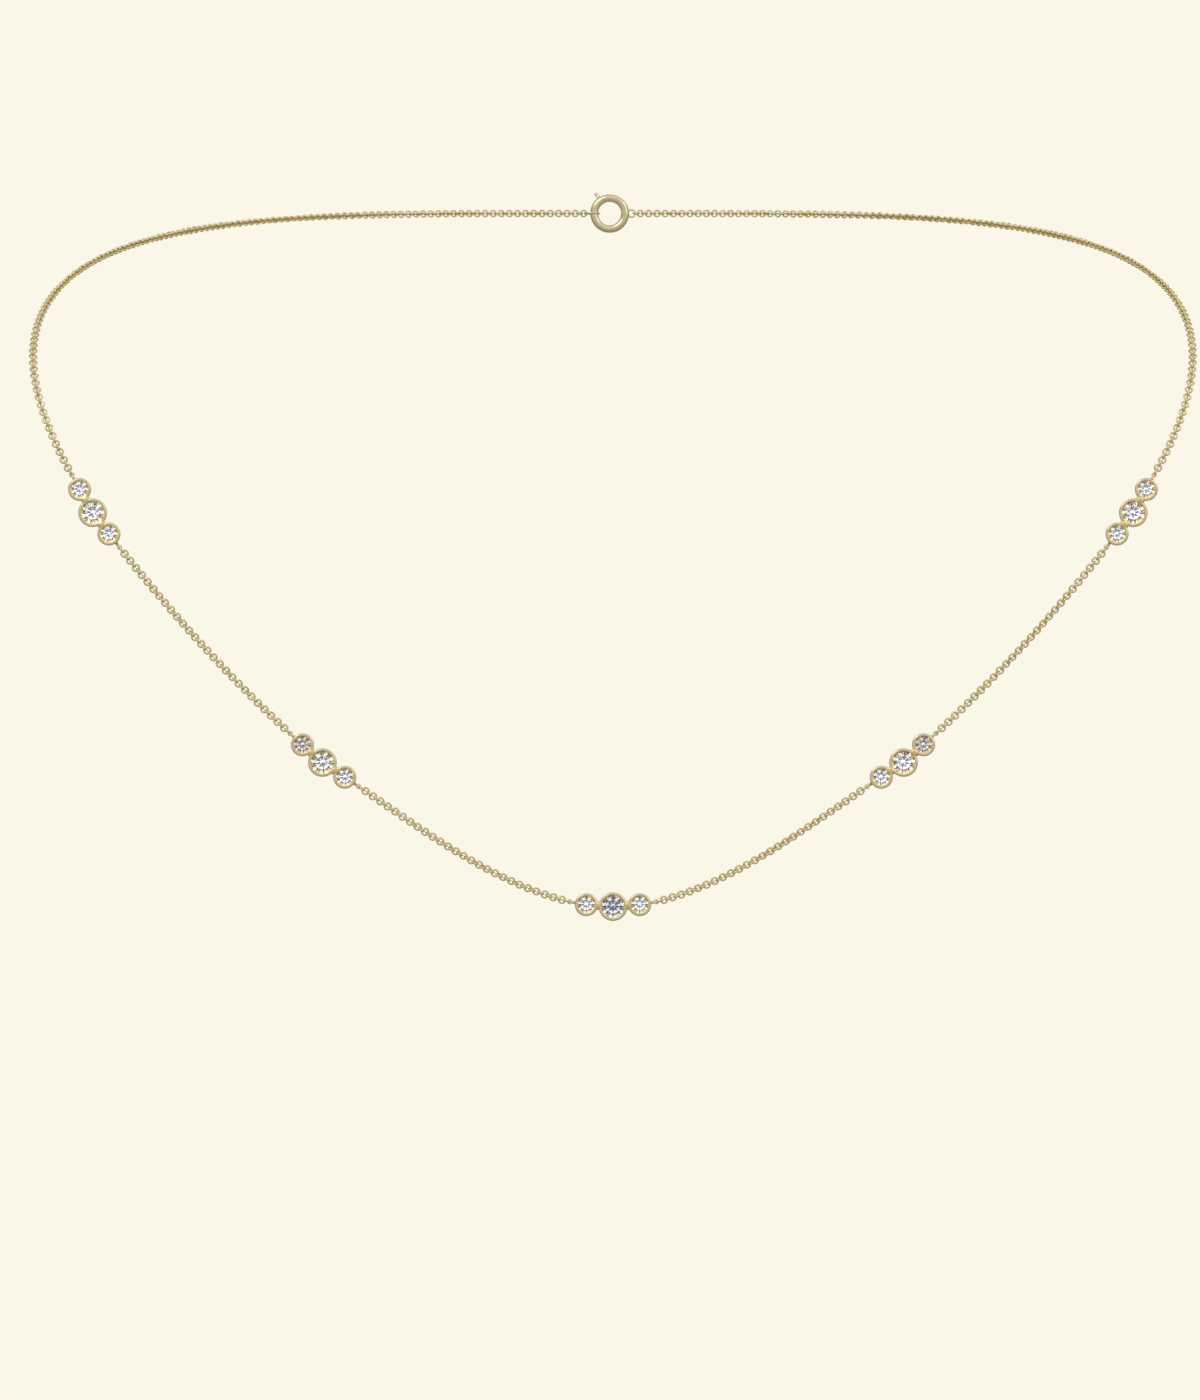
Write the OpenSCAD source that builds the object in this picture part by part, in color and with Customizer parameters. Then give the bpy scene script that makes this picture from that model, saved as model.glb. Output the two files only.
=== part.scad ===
// Station necklace: a fine cable chain that carries five soldered stations. Each station is
// a large round stone between two small ones, in bezel cups.
// It is drawn as it hangs when worn, in millimetres. The front lies in one upright plane and its
// stones face -Y. Past the last stations the chain turns back and meets the clasp at the nape.
// The origin is the middle of the neck, level with the clasp.

/* [Necklace] */
// Length of the whole loop, clasp included
necklace_l = 457; // [450:1:466]
// Rise from the middle stone to the clasp
nape_rise = 92; // [88:1:96]
// Reach of the back run's curve where it leaves the last station
shoulder_reach = 38; // [32:1:40]
// Reach of the back run's curve beside the clasp
nape_reach = 50; // [45:1:55]

/* [Stones] */
// Diameter of a station's middle stone
big_stone_d = 3; // [2.8:0.05:3.1]
// Diameter of a station's two side stones
small_stone_d = 2.3; // [2.1:0.05:2.4]
// Width of the table, as a share of the stone's diameter
table_share = 0.58; // [0.53:0.01:0.64]
// Slope of the crown's facets
crown_slope = 34.5; // [32:0.5:37]
// Slope of the pavilion's facets
pavilion_slope = 40.8; // [40:0.2:42]

/* [Settings] */
// Wall of a bezel cup outside its stone
cup_wall = 0.3; // [0.26:0.01:0.34]
// Height of the bezel's lip above the girdle
lip_h = 0.3; // [0.28:0.01:0.34]
// How far the lip is pressed in over the stone
lip_over = 0.08; // [0.06:0.01:0.1]
// Distance from the middle cup's centre to a side cup's
cup_pitch = 3.34; // [3.3:0.01:3.4]
// Angle between a station's two arms, which follow the necklace's curve
station_bend = 8.3; // [6:0.1:10]
// Distance from a side cup's rim to the centre of its soldered eye
eye_out = 0.65; // [0.62:0.01:0.7]

/* [Chain] */
// Outside diameter of the chain and of one link
chain_d = 1.08; // [1.02:0.01:1.12]
// Diameter of the chain's wire
wire_d = 0.25; // [0.22:0.01:0.26]

/* [Clasp] */
// Outside diameter of the spring ring clasp
clasp_d = 5.3; // [5:0.1:5.6]
// Thickness of the clasp's tube
clasp_tube_d = 1.1; // [1:0.05:1.15]
// Outside diameter of the ring that the clasp closes on
end_ring_d = 2.3; // [2.2:0.05:2.4]

/* [Hidden] */
gold = [0.84, 0.73, 0.46];
diamond = [0.88, 0.92, 0.97];

// Clearance between pieces
gap = 0.05;

// The stations of the right half, from the middle one outwards, in the front plane: how far
// across and up each middle cup stands, the slope of the station, and the slope of the chain
// where it meets the station's inner and outer end. The left half mirrors them.
STATIONS = [
    [0, 0, 0, -14.7, 14.7],
    [36.3, 18.0, 37.5, 34.3, 42.7],
    [65.0, 49.2, 56.7, 51.6, 61],
];
ACROSS = 0;
UP = 1;
SLOPE = 2;
CHAIN_IN = 3;
CHAIN_OUT = 4;
MIDDLE_STATION = 3;
INNER = -1;
OUTER = 1;

big_r = big_stone_d / 2;
small_r = small_stone_d / 2;
half_girdle = 0.035;
girdle_lift = 0.5;      // all girdles stand this far in front of the chain's middle
bore_share = 0.75;      // the open back of a cup, as a share of its stone
back_share = 0.86;      // a cup narrows to this share at its back
lip_round = 0.2;
lip_fall = 0.04;        // the lip dips this much towards the stone
under_culet = 0.1;      // how far the cup reaches past the stone's point
bridge_l = 0.5;
bridge_w = 1.1;
bridge_back = 0.2;
bridge_front = 0.7;
bead_d = 0.76;
bead_rise = 0.04;       // a bead of solder stands this far above the lips
bead_h = 0.2;
eye_r = 0.25;
eye_wire_d = 0.17;
neck_d = 0.38;
neck_root = 0.05;       // the neck starts this far outside the stone, within the cup's wall
link_r = (chain_d - wire_d) / 2;
ring_hang = gap / 2;    // a jump ring hangs this far out from its eye's centre

clasp_tube_r = clasp_tube_d / 2;
clasp_r = clasp_d / 2 - clasp_tube_r;
clasp_eye_r = 0.5;
clasp_eye_wire_d = 0.26;
clasp_eye_sink = 0.18;  // how deep the middle of the eye's wire lies in the clasp's tube
clasp_eye_x = clasp_r + clasp_tube_r + clasp_eye_r - clasp_eye_sink;
lever_d = 0.5;
lever_l = 0.7;
lever_slope = 125;
end_wire_d = 0.26;
end_ring_r = (end_ring_d - end_wire_d) / 2;
end_ring_x = -(clasp_r - clasp_tube_r) + gap - (end_ring_r - end_wire_d / 2);
link_pitch = 0.565;

// Where the two back runs begin, measured from the clasp's centre, as if each began at the centre
// of a jump ring: the ring hangs in the clasp's eye, and the last link in the end ring
clasp_right = clasp_eye_x + clasp_eye_r - (clasp_eye_wire_d + wire_d) / 2 - ring_hang + link_r;
clasp_left = end_ring_x - end_ring_r + (end_wire_d + wire_d) / 2 + ring_hang - link_r + link_pitch;
clasp_half = (clasp_right - clasp_left) / 2;
clasp_x = -(clasp_right + clasp_left) / 2;

tube_sides = 8;
front_segments = 6;
back_segments = 24;
route_steps = 60;
depth_tries = 18;
fine = 48;
wire_fine = 16;

// Points in the front plane
function along(slope) = [cos(slope), sin(slope)];
function cup_r(end) = (end == 0 ? big_r : small_r) + cup_wall;
function cup_at(row, end) =
    [row[ACROSS], row[UP]] + end * cup_pitch * along(row[SLOPE] + end * station_bend / 2);
function chain_slope(row, end) = end == OUTER ? row[CHAIN_OUT] : row[CHAIN_IN];
function eye_slope(row, end) = (row[SLOPE] + end * station_bend / 2 + chain_slope(row, end)) / 2;
function eye_at(row, end) = cup_at(row, end) + end * (cup_r(end) + eye_out) * along(eye_slope(row, end));
function ring_at(row, end) =
    eye_at(row, end) + end * (link_r + ring_hang) * along(chain_slope(row, end));

// Heights of a cup and its stone, from the middle of the girdle
function point_h(r) = -half_girdle - r * tan(pavilion_slope);
function back_h(r) = point_h(r) - under_culet;

// The chain's curves: each run leaves and meets its jump rings in line with the slopes above
function curve(a, b, c, d) = [
    for (i = [0:route_steps]) let (t = i / route_steps, u = 1 - t)
        u * u * u * a + 3 * u * u * t * b + 3 * u * t * t * c + t * t * t * d
];
function in_space(p, depth) = [p.x, -depth / 2, p.y - nape_rise];
function heading(slope) = [cos(slope), 0, sin(slope)];
function front_curve(n, depth) = let (
    low = in_space(ring_at(STATIONS[n], OUTER), depth),
    high = in_space(ring_at(STATIONS[n + 1], INNER), depth),
    reach = norm(high - low) / 3
) curve(
    low, low + reach * heading(STATIONS[n][CHAIN_OUT]),
    high - reach * heading(STATIONS[n + 1][CHAIN_IN]), high
);
function back_curve(depth) = let (
    last = STATIONS[len(STATIONS) - 1],
    start = in_space(ring_at(last, OUTER), depth),
    finish = [clasp_half, depth / 2, 0]
) curve(start, start + shoulder_reach * heading(last[CHAIN_OUT]), finish + [nape_reach, 0, 0], finish);

// The distance along the run at which each of its points lies
function run_lengths(points) = let (last = len(points) - 1) [
    for (i = 0, s = 0; i <= last; i = i + 1, s = s + norm(points[min(i, last)] - points[i - 1])) s
];
function length_of(points) = run_lengths(points)[len(points) - 1];
function station_l() = 2 * (cup_pitch + cup_r(OUTER) + eye_out + ring_hang + link_r);

// The depth from the front plane to the nape that gives the necklace its length
function half_runs_l(depth) =
    length_of(front_curve(0, depth)) + length_of(front_curve(1, depth)) + length_of(back_curve(depth));
function loop_l(depth) = 5 * station_l() + 2 * clasp_half + 2 * half_runs_l(depth);
function depth_for(low, high, tries) = let (middle = (low + high) / 2)
    tries == 0 ? middle
    : loop_l(middle) > necklace_l ? depth_for(low, middle, tries - 1)
    : depth_for(middle, high, tries - 1);
nape_depth = depth_for(60, 120, depth_tries);

function unit(v) = v / norm(v);
function point_at(points, lengths, s) = [
    for (axis = [0:2]) lookup(s, [for (i = [0:len(points) - 1]) [lengths[i], points[i][axis]]])
];
// Each section's own side direction, carried along the run so that the tube doesn't twist
function carried(headings, side, i = 0) = i == len(headings) ? [] : let (
    next = unit(side - (side * headings[i]) * headings[i])
) concat([next], carried(headings, next, i + 1));
function ringed(count, r, h, turn = 0) = [
    for (i = [0:count - 1]) [r * cos(360 * i / count + turn), r * sin(360 * i / count + turn), h]
];

module front() {
    translate([0, -nape_depth / 2, -nape_rise]) rotate([90, 0, 0]) children();
}

module nape() {
    translate([0, nape_depth / 2, 0]) children();
}

module mirrored(left) {
    if (left) mirror([1, 0, 0]) children();
    else children();
}

module torus(r, wire) {
    rotate_extrude($fn = fine) translate([r, 0]) circle(d = wire, $fn = wire_fine);
}

// A round brilliant cut: table, eight stars, eight kites, a girdle, and a pavilion down to a point
module brilliant(r) {
    table_r = r * table_share;
    table_h = half_girdle + (r - table_r) * tan(crown_slope);
    star_r = r * 0.78;
    star_h = table_h - (star_r * cos(22.5) - table_r) * tan(crown_slope);
    lower_r = r * 0.23;
    lower_h = point_h(r) + lower_r * cos(22.5) * tan(pavilion_slope);
    star = 8;
    top = 16;
    bottom = 32;
    lower = 48;
    culet = 56;
    polyhedron(
        points = concat(
            ringed(8, table_r, table_h), ringed(8, star_r, star_h, 22.5),
            ringed(16, r, half_girdle), ringed(16, r, -half_girdle),
            ringed(8, lower_r, lower_h, 22.5), [[0, 0, point_h(r)]]
        ),
        faces = concat(
            [[for (i = [7:-1:0]) i]],
            [for (i = [0:7]) [i, (i + 1) % 8, star + i]],
            [for (i = [0:7]) [i, star + i, top + 2 * i, star + (i + 7) % 8]],
            [for (i = [0:7]) [star + i, top + 2 * i + 1, top + 2 * i]],
            [for (i = [0:7]) [star + i, top + (2 * i + 2) % 16, top + 2 * i + 1]],
            [for (j = [0:15]) [top + j, top + (j + 1) % 16, bottom + (j + 1) % 16, bottom + j]],
            [for (i = [0:7]) [lower + i, bottom + 2 * i, bottom + 2 * i + 1]],
            [for (i = [0:7]) [lower + i, bottom + 2 * i + 1, bottom + (2 * i + 2) % 16]],
            [for (i = [0:7]) [culet, lower + (i + 7) % 8, bottom + 2 * i, lower + i]]
        )
    );
}

// A bezel cup: an open tapered tube with a seat for the pavilion and a lip pressed over the girdle
module cup(r) {
    out = r + cup_wall;
    groove = r + gap;
    bore = r * bore_share;
    lip_in = r - lip_over;
    seat = -half_girdle - gap / cos(pavilion_slope);
    lip_under = half_girdle + gap / cos(crown_slope);
    inside = [
        [bore, back_h(r)],
        [bore, seat - (r - bore) * tan(pavilion_slope)],
        [groove, seat + gap * tan(pavilion_slope)],
        [groove, lip_under - gap * tan(crown_slope)],
        [lip_in, lip_under + lip_over * tan(crown_slope)],
        [lip_in, lip_h - lip_fall],
    ];
    lip = [
        for (a = [90:-22.5:0]) [out - lip_round * (1 - cos(a)), lip_h - lip_round * (1 - sin(a))]
    ];
    translate([0, 0, girdle_lift]) rotate_extrude($fn = fine)
        polygon(concat(inside, lip, [[out * back_share, back_h(r)]]));
}

// The solder that joins two cups: a web between their walls, and a bead across their lips
module bridge() {
    translate([0, 0, -bridge_back]) intersection() {
        cylinder(h = bridge_back + bridge_front, d = bridge_w, $fn = fine);
        translate([-bridge_l / 2, -bridge_w, -bridge_w]) cube([bridge_l, 2 * bridge_w, 3 * bridge_w]);
    }
    translate([0, 0, girdle_lift + lip_h + bead_rise - bead_h]) cylinder(h = bead_h, d = bead_d, $fn = fine);
}

// A soldered eye on a short neck, along +X from the cup's centre
module eye(from_r, to_r) {
    translate([from_r, 0, 0]) rotate([0, 90, 0]) cylinder(h = to_r - eye_r - from_r, d = neck_d, $fn = fine);
    translate([to_r, 0, 0]) torus(eye_r, eye_wire_d);
}

// The right half's setting in the given row, in its own frame
module right_setting(row) {
    cup(big_r);
    for (end = [INNER, OUTER]) {
        place = cup_at([0, 0, 0], end);
        bridge_at = cup_r(0) + (cup_pitch - cup_r(0) - cup_r(end)) / 2;
        rotate(end * station_bend / 2) translate([end * bridge_at, 0, 0]) bridge();
        translate(place) {
            cup(small_r);
            rotate(eye_slope(row, end) - row[SLOPE] + (end == INNER ? 180 : 0))
                eye(small_r + neck_root, cup_r(end) + eye_out);
        }
    }
}

module setting(k) {
    row = STATIONS[abs(k - MIDDLE_STATION)];
    color(gold) mirrored(k < MIDDLE_STATION) front() translate([row[ACROSS], row[UP], 0])
        rotate(row[SLOPE]) right_setting(row);
}

// side is -1 for the left stone of its station, 0 for the middle one and 1 for the right one
module stone(k, side) {
    row = STATIONS[abs(k - MIDDLE_STATION)];
    left = k < MIDDLE_STATION;
    end = left ? -side : side;
    r = end == 0 ? big_r : small_r;
    color(diamond) mirrored(left) front() translate(cup_at(row, end))
        rotate(row[SLOPE]) translate([0, 0, girdle_lift]) brilliant(r);
}

module jump_ring(k, side) {
    row = STATIONS[abs(k - MIDDLE_STATION)];
    left = k < MIDDLE_STATION;
    end = left ? -side : side;
    color(gold) mirrored(left) front() translate(ring_at(row, end))
        rotate(chain_slope(row, end)) rotate([90, 0, 0]) torus(link_r, wire_d);
}

// A run of chain as one closed tube of the chain's outside diameter, between two rings
module tube(points, start_gap, end_gap, segments) {
    lengths = run_lengths(points);
    start = start_gap;
    finish = length_of(points) - end_gap;
    stops = [for (i = [0:segments]) start + (finish - start) * i / segments];
    headings = [
        for (s = stops) unit(point_at(points, lengths, s + wire_d) - point_at(points, lengths, s - wire_d))
    ];
    sides = carried(headings, [0, -1, 0]);
    function corner(i, j) = point_at(points, lengths, stops[i]) + chain_d / 2 * (
        cos(360 * j / tube_sides) * sides[i] + sin(360 * j / tube_sides) * cross(headings[i], sides[i])
    );
    function at(i, j) = i * tube_sides + j % tube_sides;
    polyhedron(
        points = [for (i = [0:segments]) for (j = [0:tube_sides - 1]) corner(i, j)],
        faces = concat(
            [[for (j = [0:tube_sides - 1]) at(0, j)]],
            [
                for (i = [0:segments - 1]) for (j = [0:tube_sides - 1])
                    each [
                        [at(i, j), at(i + 1, j), at(i, j + 1)],
                        [at(i, j + 1), at(i + 1, j), at(i + 1, j + 1)]
                    ]
            ],
            [[for (j = [tube_sides - 1:-1:0]) at(segments, j)]]
        )
    );
}

module chain(n) {
    left = n <= 3;
    run = left ? 3 - n : n - 4;
    at_ring = link_r + wire_d / 2 + gap;
    at_end_ring = clasp_left - (end_ring_x - end_ring_r - end_wire_d / 2) + gap;
    color(gold) mirrored(left) {
        if (run < 2) tube(front_curve(run, nape_depth), at_ring, at_ring, front_segments);
        else tube(back_curve(nape_depth), at_ring, left ? at_end_ring : at_ring, back_segments);
    }
}

// A spring ring clasp as one plain piece: its round tube, the eye it hangs by and its thumb lever
module clasp() {
    color(gold) nape() translate([clasp_x, 0, 0]) rotate([90, 0, 0]) {
        torus(clasp_r, clasp_tube_d);
        translate([clasp_eye_x, 0, 0]) torus(clasp_eye_r, clasp_eye_wire_d);
        rotate(lever_slope) translate([clasp_r, 0, 0]) rotate([0, 90, 0])
            cylinder(h = clasp_tube_r + lever_l, d = lever_d, $fn = fine);
    }
}

module end_ring() {
    color(gold) nape() translate([clasp_x + end_ring_x, 0, 0]) torus(end_ring_r, end_wire_d);
}

module jump_ring_clasp() {
    color(gold) nape() translate([clasp_x + clasp_right, 0, 0]) torus(link_r, wire_d);
}

for (k = [1:5]) setting(k);
for (k = [1:5]) {
    stone(k, -1);
    stone(k, 0);
    stone(k, 1);
}
for (k = [1:5]) {
    jump_ring(k, -1);
    jump_ring(k, 1);
}
jump_ring_clasp();
for (n = [1:6]) chain(n);
clasp();
end_ring();
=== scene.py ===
# A fine gold station necklace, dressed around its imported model. Everything is in metres, in the
# model's own frame: +Z is up, the stones face -Y, and the origin is the middle of the neck,
# level with the clasp.
import math
import random

import bmesh
import bpy
from mathutils import Matrix, Vector
from mathutils.geometry import interpolate_bezier


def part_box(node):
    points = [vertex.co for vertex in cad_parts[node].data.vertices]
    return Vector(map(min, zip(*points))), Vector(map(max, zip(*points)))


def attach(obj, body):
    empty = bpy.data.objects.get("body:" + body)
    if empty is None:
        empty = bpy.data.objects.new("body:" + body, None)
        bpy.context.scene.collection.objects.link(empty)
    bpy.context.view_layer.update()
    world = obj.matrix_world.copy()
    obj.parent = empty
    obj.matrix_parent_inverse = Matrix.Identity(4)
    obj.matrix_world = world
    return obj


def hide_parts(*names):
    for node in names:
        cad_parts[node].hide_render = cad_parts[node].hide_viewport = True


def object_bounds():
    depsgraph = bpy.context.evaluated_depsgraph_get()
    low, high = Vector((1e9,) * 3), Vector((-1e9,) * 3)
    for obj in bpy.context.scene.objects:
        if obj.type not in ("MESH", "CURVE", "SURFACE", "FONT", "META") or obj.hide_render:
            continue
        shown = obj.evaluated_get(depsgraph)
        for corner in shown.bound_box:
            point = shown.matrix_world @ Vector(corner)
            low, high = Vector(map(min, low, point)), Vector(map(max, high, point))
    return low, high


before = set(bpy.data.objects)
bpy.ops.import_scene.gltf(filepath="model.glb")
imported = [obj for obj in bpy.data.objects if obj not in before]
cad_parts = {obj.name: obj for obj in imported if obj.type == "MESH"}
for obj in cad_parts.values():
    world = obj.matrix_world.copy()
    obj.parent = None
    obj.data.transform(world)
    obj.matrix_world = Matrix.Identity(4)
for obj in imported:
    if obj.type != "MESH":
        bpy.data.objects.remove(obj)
model_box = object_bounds()

MM = 0.001


# Bezel settings. Each stone sits in a tapered tube of 14 carat gold, turned on a lathe and bored
# through, with its lip burnished in over the girdle. Three cups are soldered side by side with a
# web and a bead of solder in each join, and a small wire eye on a neck is soldered to each end.
STATIONS = (1, 2, 3, 4, 5)
BIG_STONE_R = 1.5 * MM
SMALL_STONE_R = 1.15 * MM
HALF_GIRDLE = 0.035 * MM
CROWN_SLOPE = math.radians(34.5)
PAVILION_SLOPE = math.radians(40.8)
CLEARANCE = 0.05 * MM
CUP_WALL = 0.3 * MM
LIP_H = 0.3 * MM
LIP_OVER = 0.08 * MM
LIP_ROUND = 0.2 * MM
LIP_ROUND_STEPS = 7
LIP_FALL = 0.04 * MM
# Where the lip's inside edge ends its turn, in degrees: just short of its top
LIP_EDGE_END = 97
EDGE_ROUND = 0.03 * MM
EDGE_ROUND_STEPS = 3
BORE_SHARE = 0.75
BACK_SHARE = 0.86
UNDER_CULET = 0.1 * MM
SLIVER = 0.001 * MM
CUP_SIDES = 64
WEB_L = 0.5 * MM
WEB_W = 1.1 * MM
WEB_BACK = 0.2 * MM
WEB_FRONT = 0.7 * MM
WEB_ROUND = 0.12 * MM
WEB_ROUND_STEPS = 4
BEAD_L = 0.8 * MM
BEAD_W = 0.92 * MM
BEAD_H = 0.32 * MM
BEAD_SUNK = 0.1 * MM
BEAD_SIDES = 24
EYE_R = 0.25 * MM
EYE_WIRE_R = 0.085 * MM
EYE_SIDES = 32
EYE_WIRE_SIDES = 12
NECK_ROOT_R = 0.24 * MM
NECK_TIP_R = 0.15 * MM
NECK_INSET = 0.05 * MM
NECK_SIDES = 24
LINK_R = 0.415 * MM
RING_HANG = 0.025 * MM
REAL_CORNER = math.radians(35)
# The slope of the chain, in degrees, where it meets each station's left and right eye
CHAIN_SLOPES = {
    1: (-61, -51.6),
    2: (-42.7, -34.3),
    3: (-14.7, 14.7),
    4: (34.3, 42.7),
    5: (51.6, 61),
}

RIM_GOLD = (0.79, 0.72, 0.44, 1)
RIM_ROSE = (0.90, 0.71, 0.50, 1)
SOLDER_GOLD = (0.91, 0.73, 0.32, 1)
SOLDER_ORANGE = (0.92, 0.61, 0.30, 1)
PATCH_DETAIL = 2
PATCH_EDGES = (0.38, 0.62)
POLISH_LINES_PER_METRE = 9000
POLISH_LINE_DETAIL = 4
POLISH_LINE_WANDER = 1.5
POLISH_LINE_SPREAD = (0.3, 0.7)
RELIEF_STRENGTH = 0.3


def centre(node):
    low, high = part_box(node)
    return (low + high) / 2


# The direction in the front plane that a slope in degrees gives, from left to right
def heading(slope):
    return Vector((math.cos(math.radians(slope)), 0, math.sin(math.radians(slope))))


# A matrix that sets a shape down at a point, with its own Z turned to face the viewer and its own
# X along a direction in the front plane
def facing_front(point, direction):
    turn = Matrix.Rotation(math.atan2(direction.z, direction.x), 4, "Z")
    return Matrix.Translation(point) @ Matrix.Rotation(math.pi / 2, 4, "X") @ turn


# Points round a corner of a lathe outline, from one turn to another in degrees
def rounded_corner(centre_r, centre_h, radius, start, end, steps):
    return [
        (
            centre_r + radius * math.cos(math.radians(start + (end - start) * i / steps)),
            centre_h + radius * math.sin(math.radians(start + (end - start) * i / steps)),
        )
        for i in range(steps + 1)
    ]


# The cut through a cup's wall, as radius and height from the middle of the girdle
def cup_outline(stone_r):
    outside = stone_r + CUP_WALL
    bore = stone_r * BORE_SHARE
    groove = stone_r + CLEARANCE
    lip_inside = stone_r - LIP_OVER
    rise = math.tan(PAVILION_SLOPE)
    crown_rise = math.tan(CROWN_SLOPE)
    back = -HALF_GIRDLE - stone_r * rise - UNDER_CULET
    seat = -HALF_GIRDLE - CLEARANCE / math.cos(PAVILION_SLOPE)
    under_lip = HALF_GIRDLE + CLEARANCE / math.cos(CROWN_SLOPE)
    outline = [
        (bore, back),
        (bore, seat - (stone_r - bore) * rise),
        (groove, seat + CLEARANCE * rise),
        (groove, under_lip - CLEARANCE * crown_rise),
        (lip_inside, under_lip + LIP_OVER * crown_rise),
    ]
    lip_top = LIP_H - LIP_FALL
    outline += rounded_corner(
        lip_inside + EDGE_ROUND, lip_top - EDGE_ROUND, EDGE_ROUND, 180, LIP_EDGE_END, EDGE_ROUND_STEPS
    )
    outline += rounded_corner(
        outside - LIP_ROUND, LIP_H - LIP_ROUND, LIP_ROUND, 90, 0, LIP_ROUND_STEPS
    )
    back_r = outside * BACK_SHARE
    outline += rounded_corner(
        back_r - EDGE_ROUND, back + EDGE_ROUND, EDGE_ROUND, 0, -90, EDGE_ROUND_STEPS
    )
    return outline


# Spins a closed outline full circle about Z, and sets the shape in its place
def spin_closed(bm, outline, steps, place):
    before = set(bm.verts)
    corners = [bm.verts.new((r, 0, h)) for r, h in outline]
    edges = [bm.edges.new((corners[i - 1], corners[i])) for i in range(len(corners))]
    bmesh.ops.spin(
        bm, geom=corners + edges, cent=(0, 0, 0), axis=(0, 0, 1),
        angle=math.tau, steps=steps, use_merge=True,
    )
    bmesh.ops.transform(bm, matrix=place, verts=[v for v in bm.verts if v not in before])


# A ring of round wire about Z, set in its place
def wire_ring(bm, ring_r, wire_r, ring_sides, wire_sides, place):
    outline = [
        (
            ring_r + wire_r * math.cos(math.tau * i / wire_sides),
            wire_r * math.sin(math.tau * i / wire_sides),
        )
        for i in range(wire_sides)
    ]
    spin_closed(bm, outline, ring_sides, place)


# Turns a finished bmesh into a piece of the necklace, smooth apart from its real corners
def as_piece(bm, name, materials, corner=REAL_CORNER):
    bmesh.ops.recalc_face_normals(bm, faces=bm.faces)
    mesh = bpy.data.meshes.new(name)
    bm.to_mesh(mesh)
    bm.free()
    mesh.shade_smooth()
    mesh.set_sharp_from_angle(angle=corner)
    for material in materials:
        mesh.materials.append(material)
    piece = bpy.data.objects.new(name, mesh)
    bpy.context.scene.collection.objects.link(piece)
    return piece


# Solders pieces together: the others become part of the first one's single solid. The slivers that
# the joining leaves are merged away, with the pairs of faces that then lie back to back.
def soldered(piece, others):
    for other in others:
        join = piece.modifiers.new("solder", "BOOLEAN")
        join.operation = "UNION"
        join.solver = "EXACT"
        join.object = other
    bpy.context.view_layer.update()
    shown = piece.evaluated_get(bpy.context.evaluated_depsgraph_get())
    fused = bpy.data.meshes.new_from_object(shown)
    bm = bmesh.new()
    bm.from_mesh(fused)
    bmesh.ops.remove_doubles(bm, verts=bm.verts, dist=SLIVER)
    bmesh.ops.dissolve_degenerate(bm, edges=bm.edges, dist=SLIVER)
    bmesh.ops.triangulate(bm, faces=bm.faces)
    same_corners = {}
    for face in bm.faces:
        same_corners.setdefault(frozenset(face.verts), []).append(face)
    folded = [f for faces in same_corners.values() if len(faces) > 1 for f in faces]
    bmesh.ops.delete(bm, geom=folded, context="FACES")
    bm.to_mesh(fused)
    bm.free()
    piece.modifiers.clear()
    piece.data = fused
    fused.name = piece.name
    for other in others:
        bpy.data.objects.remove(other)


# A value as its share of the way between two limits, put out as the same share between two others
def ranged(tree, value, from_min, from_max, to_min=0, to_max=1):
    reading = tree.nodes.new("ShaderNodeMapRange")
    reading.inputs["From Min"].default_value = from_min
    reading.inputs["From Max"].default_value = from_max
    reading.inputs["To Min"].default_value = to_min
    reading.inputs["To Max"].default_value = to_max
    tree.links.new(value, reading.inputs["Value"])
    return reading


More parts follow.
